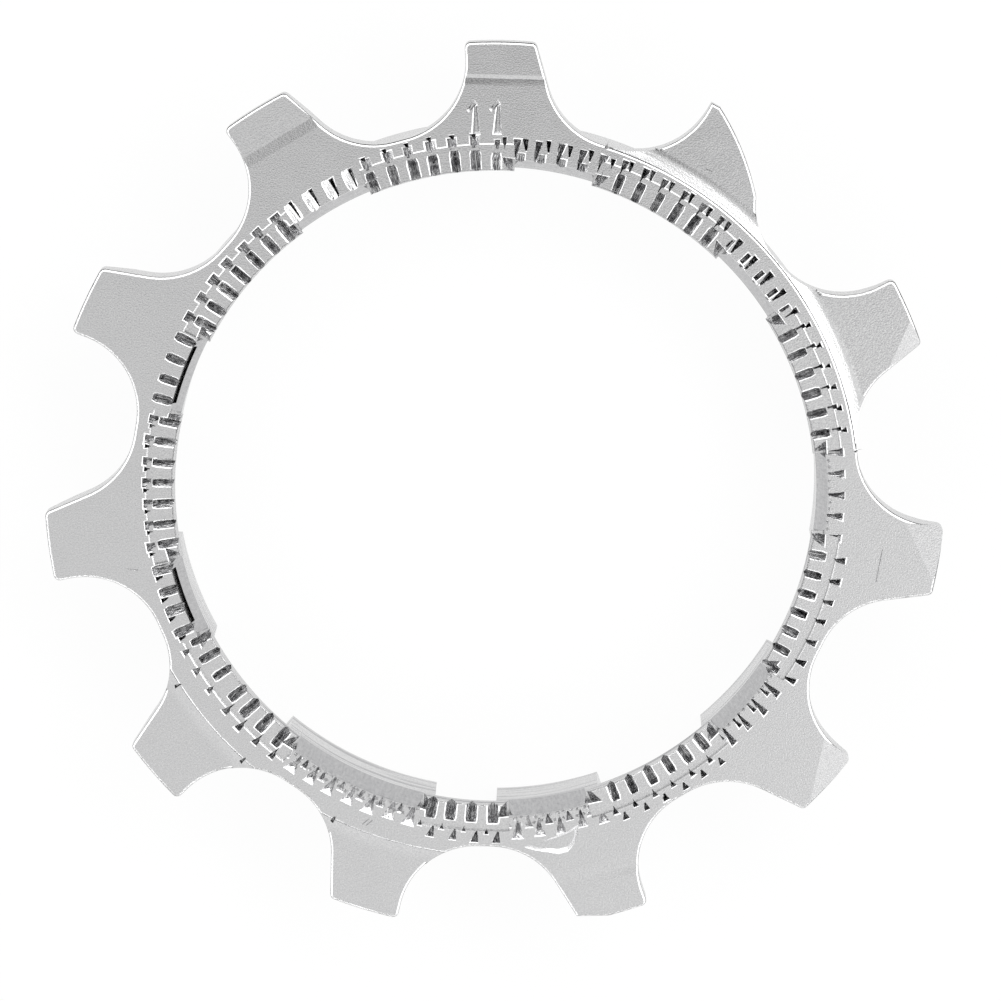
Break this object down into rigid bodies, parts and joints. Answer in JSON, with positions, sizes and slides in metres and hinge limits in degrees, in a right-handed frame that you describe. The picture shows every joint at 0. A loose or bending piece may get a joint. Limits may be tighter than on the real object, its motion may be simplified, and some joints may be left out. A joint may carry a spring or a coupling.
{
  "type": "cassette cog",
  "caption": "Smallest steel cog of a bicycle rear cassette: chain teeth, serrated lock ring face, splined bore and a built-in spacer collar.",
  "frame": {"origin": "on the bore's axis, at the back face of the spacer collar", "axes": "+Z along the bore's axis, from the spacer collar to the serrated lock ring face; +Y through the middle of the marked tooth"},
  "size_m": [0.0459, 0.0455, 0.0048],
  "materials": {
    "plated_steel": "satin nickel plating with a very fine matt grain, brighter on the edges"
  },
  "bodies": {
    "root": {"cassette_cog": "plated_steel"}
  },
  "joints": []
}
